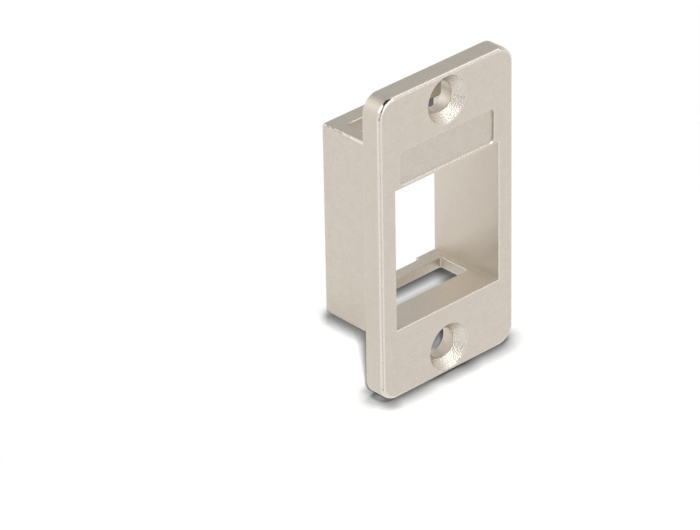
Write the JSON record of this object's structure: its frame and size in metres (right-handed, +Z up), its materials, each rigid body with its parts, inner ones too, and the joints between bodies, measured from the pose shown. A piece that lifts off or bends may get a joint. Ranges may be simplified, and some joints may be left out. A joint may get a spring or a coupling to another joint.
{
  "type": "keystone housing",
  "caption": "Die-cast keystone housing: a flat screw-on plate with a short open box behind it that takes a snap-in data module through its rectangular opening.",
  "frame": {"origin": "middle of the two-screw pattern, on the rear of the face plate where it seats", "axes": "+Z up along the face plate, -Y out of its front face, +X to the right seen from the front"},
  "size_m": [0.0192, 0.0096, 0.035],
  "materials": {
    "plated_zinc": "satin nickel plating on a zinc die casting, with a fine grain from the mould"
  },
  "bodies": {
    "root": {"housing": "plated_zinc"}
  },
  "joints": []
}
